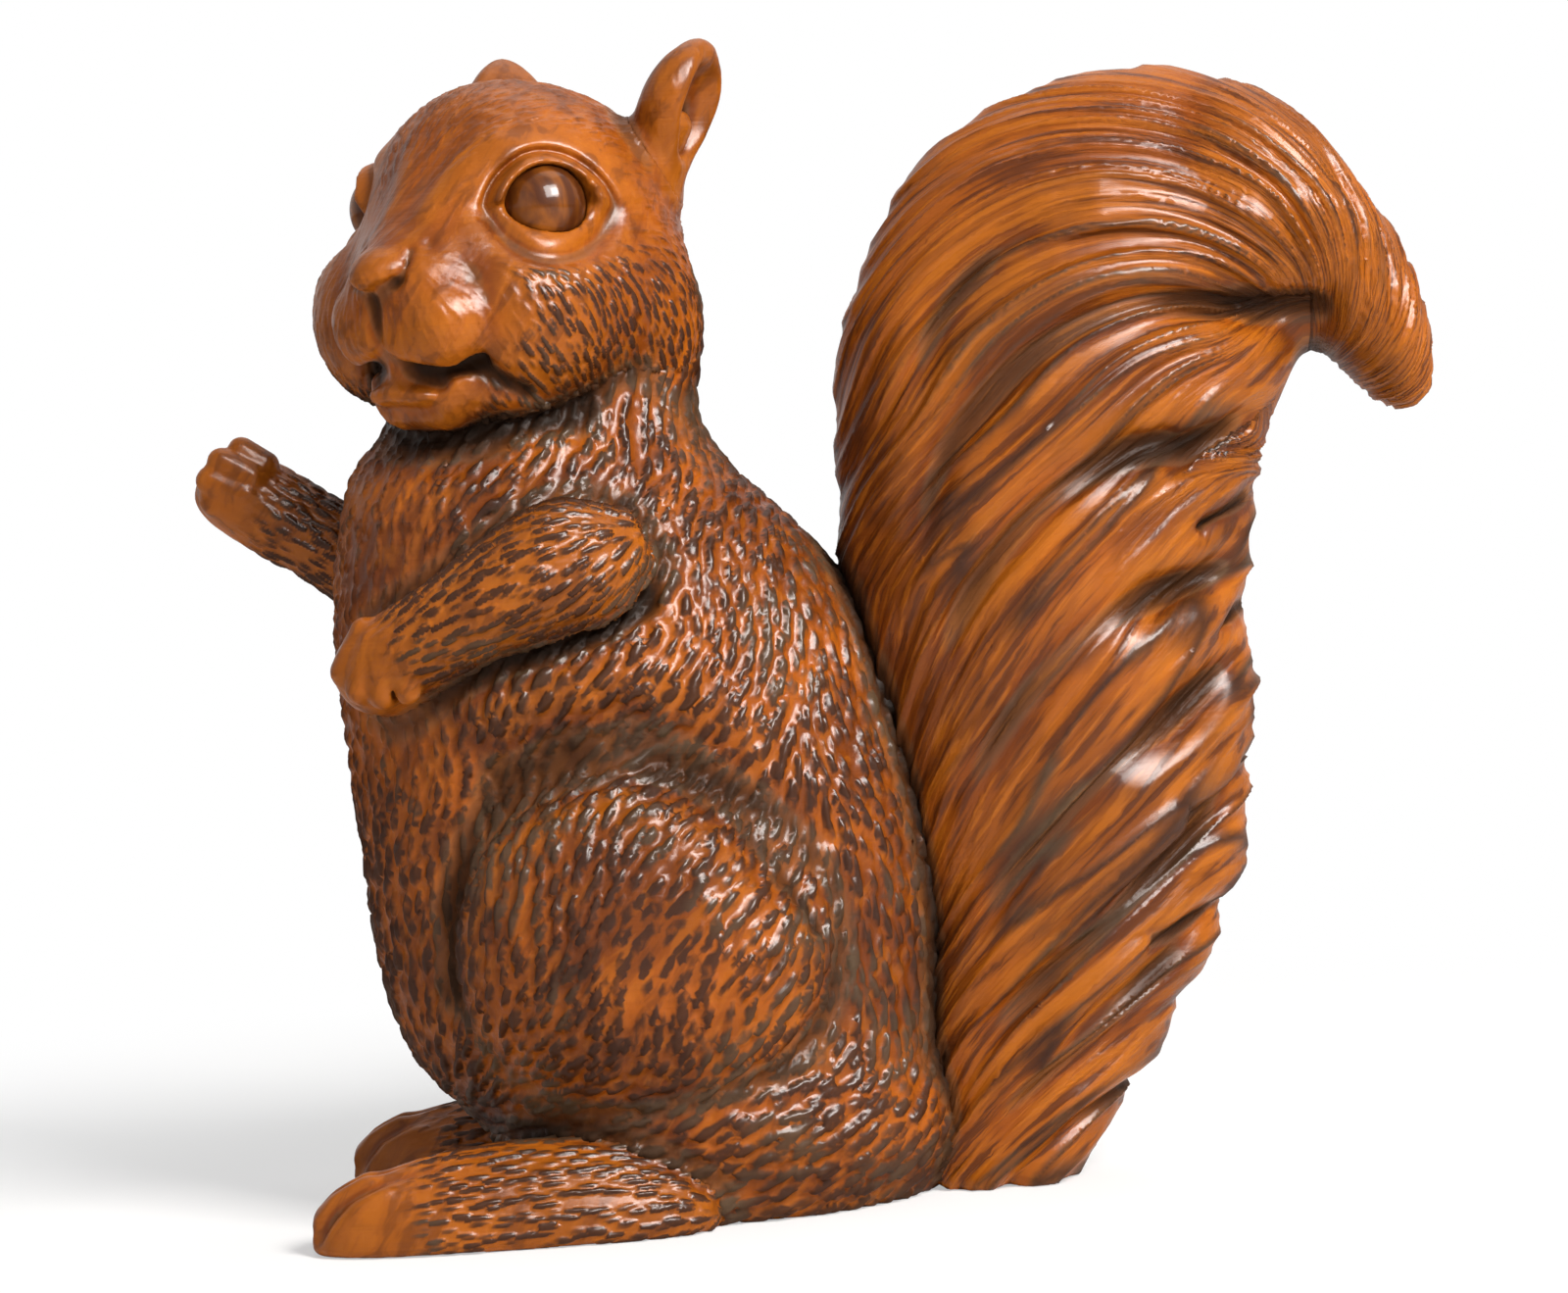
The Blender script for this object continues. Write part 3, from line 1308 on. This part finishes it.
world = bpy.data.worlds.new("studio")
bpy.context.scene.world = world
world.use_nodes = True
sky = world.node_tree
paths = sky.nodes.new("ShaderNodeLightPath")
direct = sky.nodes.new("ShaderNodeMath")
direct.operation = "MAXIMUM"
mirrored = sky.nodes.new("ShaderNodeMath")
mirrored.operation = "MAXIMUM"
sky.links.new(paths.outputs["Is Camera Ray"], direct.inputs[0])
sky.links.new(paths.outputs["Is Glossy Ray"], direct.inputs[1])
sky.links.new(direct.outputs[0], mirrored.inputs[0])
sky.links.new(paths.outputs["Is Transmission Ray"], mirrored.inputs[1])
room = sky.nodes["Background"]
room.inputs["Color"].default_value = (1.0, 0.98, 0.96, 1.0)
room.inputs["Strength"].default_value = 0.12
white = sky.nodes.new("ShaderNodeBackground")
white.inputs["Color"].default_value = (1.0, 1.0, 1.0, 1.0)
white.inputs["Strength"].default_value = 1.0
either = sky.nodes.new("ShaderNodeMixShader")
sky.links.new(mirrored.outputs[0], either.inputs[0])
sky.links.new(room.outputs[0], either.inputs[1])
sky.links.new(white.outputs[0], either.inputs[2])
sky.links.new(either.outputs[0], sky.nodes["World Output"].inputs["Surface"])

TARGET = Vector((7.0, 0.0, 36.6)) * MM


def soft_lamp(name, place, size, watts, colour):
    """A square soft box aimed at the figure."""
    lamp = bpy.data.lights.new(name, "AREA")
    lamp.shape = "SQUARE"
    lamp.size = size
    lamp.energy = watts
    lamp.color = colour
    box = bpy.data.objects.new(name, lamp)
    bpy.context.scene.collection.objects.link(box)
    box.location = Vector(place)
    box.rotation_euler = (TARGET - box.location).to_track_quat("-Z", "Y").to_euler()
    return box


soft_lamp("key", (0.24, -0.3, 0.32), 0.16, 3.6, (1.0, 0.97, 0.94))
soft_lamp("fill", (-0.4, -0.35, 0.2), 0.4, 0.3, (1.0, 0.98, 0.97))
soft_lamp("top", (0.05, 0.15, 0.5), 0.4, 0.9, (1.0, 1.0, 1.0))
# A broad window that only shows in the lacquer
window_light = soft_lamp("window", (0.2, -0.36, 0.36), 0.3, 9.5, (1.0, 0.99, 0.97))
window_light.visible_diffuse = False

# The camera stands level with the figure's middle, a little above it, and leans
CAMERA_DISTANCE = 300.0
CAMERA_RISE = np.radians(2.0)
CAMERA_LEAN = np.radians(3.5)
right = np.array([1.0, 0.0, 0.0])
above = np.array([0.0, np.sin(CAMERA_RISE), np.cos(CAMERA_RISE)])
behind = np.array([0.0, -np.cos(CAMERA_RISE), np.sin(CAMERA_RISE)])
leaning_right = right * np.cos(CAMERA_LEAN) - above * np.sin(CAMERA_LEAN)
leaning_up = right * np.sin(CAMERA_LEAN) + above * np.cos(CAMERA_LEAN)
lens = bpy.data.cameras.new("camera")
lens.sensor_fit = "HORIZONTAL"
lens.sensor_width = 36.0
lens.lens = 102.6
lens.clip_start = 0.01
camera = bpy.data.objects.new("camera", lens)
bpy.context.scene.collection.objects.link(camera)
placed = Matrix.Identity(4)
for column, axis in enumerate((leaning_right, leaning_up, behind)):
    for row in range(3):
        placed[row][column] = axis[row]
placed.translation = TARGET + Vector(behind) * CAMERA_DISTANCE * MM
camera.matrix_world = placed
bpy.context.scene.camera = camera

bpy.context.scene.view_settings.view_transform = "Standard"
